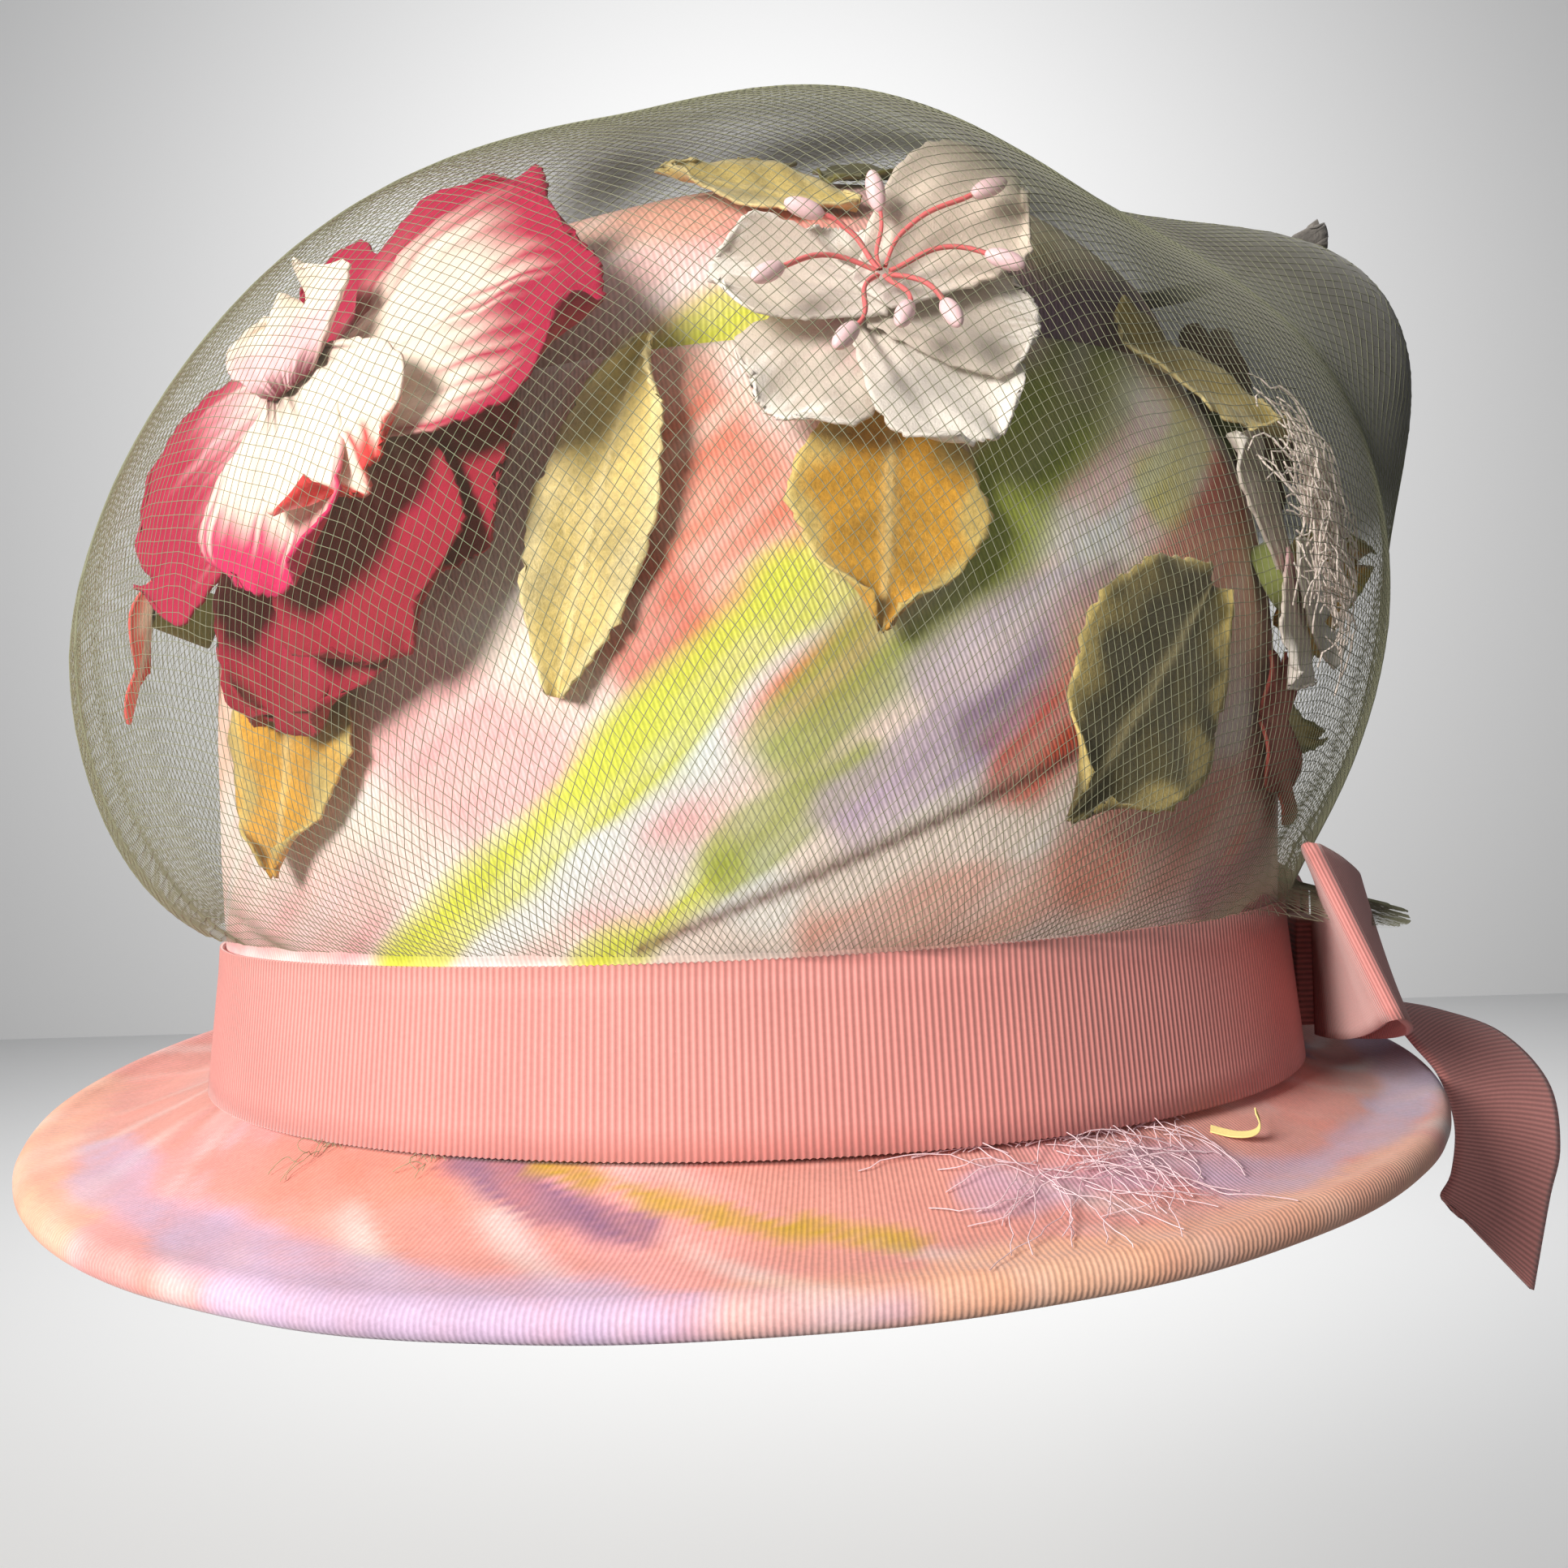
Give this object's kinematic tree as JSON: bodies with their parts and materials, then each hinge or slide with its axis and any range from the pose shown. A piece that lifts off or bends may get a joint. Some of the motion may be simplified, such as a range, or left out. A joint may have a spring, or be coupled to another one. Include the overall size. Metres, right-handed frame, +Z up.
{
  "type": "veiled hat",
  "caption": "Tall crowned cloth hat with a narrow padded brim, a ribbon band and bow, and cloth flowers and leaves under a fine net veil.",
  "frame": {"origin": "middle of the head opening, where the crown meets the brim; the hat is held up there as a head holds it", "axes": "+Z up through the crown, +X to the wearer's side that carries the bow, -Y towards the picture's viewer"},
  "size_m": [0.2641, 0.2444, 0.2053],
  "materials": {
    "printed_cloth": "ribbed silk with a soft stripe print",
    "ribbon": "ribbed grosgrain",
    "net": "fine diamond net",
    "rose_petal": "matt dyed cloth",
    "organza": "sheer organza",
    "leaf_cloth": "satin",
    "pink_cloth": "sheer cloth",
    "brown_cloth": "matt cloth",
    "stamen": "waxed thread with pearl tips"
  },
  "bodies": {
    "root": {"bow_knot": "ribbon", "bow_loop_back": "ribbon", "bow_loop_front": "ribbon", "bow_tail": "ribbon", "brim": "printed_cloth", "brown_blossom_right": "brown_cloth", "brown_blossom_right_base": "leaf_cloth", "cream_blossom_back": "organza", "cream_blossom_back_base": "leaf_cloth", "crown_side": "printed_cloth", "crown_tip": "printed_cloth", "frayed_flower_base": "leaf_cloth", "frayed_flower_petal_1": "organza", "frayed_flower_petal_2": "organza", "frayed_flower_petal_3": "organza", "leaf_above_blossom": "leaf_cloth", "leaf_back_left": "leaf_cloth", "leaf_back_middle": "leaf_cloth", "leaf_back_right": "leaf_cloth", "leaf_back_top": "leaf_cloth", "leaf_by_rose": "leaf_cloth", "leaf_curled_right": "leaf_cloth", "leaf_far_right": "leaf_cloth", "leaf_hook_right": "leaf_cloth", "leaf_left_edge": "leaf_cloth", "leaf_low_right": "leaf_cloth", "leaf_spike_right": "leaf_cloth", "leaf_top_middle": "leaf_cloth", "leaf_top_right": "leaf_cloth", "leaf_under_blossom": "leaf_cloth", "leaf_under_rose": "leaf_cloth", "pink_blossom_back": "pink_cloth", "pink_blossom_back_base": "leaf_cloth", "pink_blossom_left": "pink_cloth", "pink_blossom_left_base": "leaf_cloth", "pink_blossom_right": "pink_cloth", "pink_blossom_right_base": "leaf_cloth", "ribbon_band": "ribbon", "rose_base": "leaf_cloth", "rose_petal_1": "rose_petal", "rose_petal_10": "rose_petal", "rose_petal_11": "rose_petal", "rose_petal_12": "rose_petal", "rose_petal_2": "rose_petal", "rose_petal_3": "rose_petal", "rose_petal_4": "rose_petal", "rose_petal_5": "rose_petal", "rose_petal_6": "rose_petal", "rose_petal_7": "rose_petal", "rose_petal_8": "rose_petal", "rose_petal_9": "rose_petal", "veil": "net", "white_blossom_base": "leaf_cloth", "white_blossom_petal_1": "organza", "white_blossom_petal_2": "organza", "white_blossom_petal_3": "organza", "white_blossom_petal_4": "organza", "white_blossom_petal_5": "organza", "white_blossom_petal_6": "organza", "white_blossom_stamens": "stamen"}
  },
  "joints": []
}
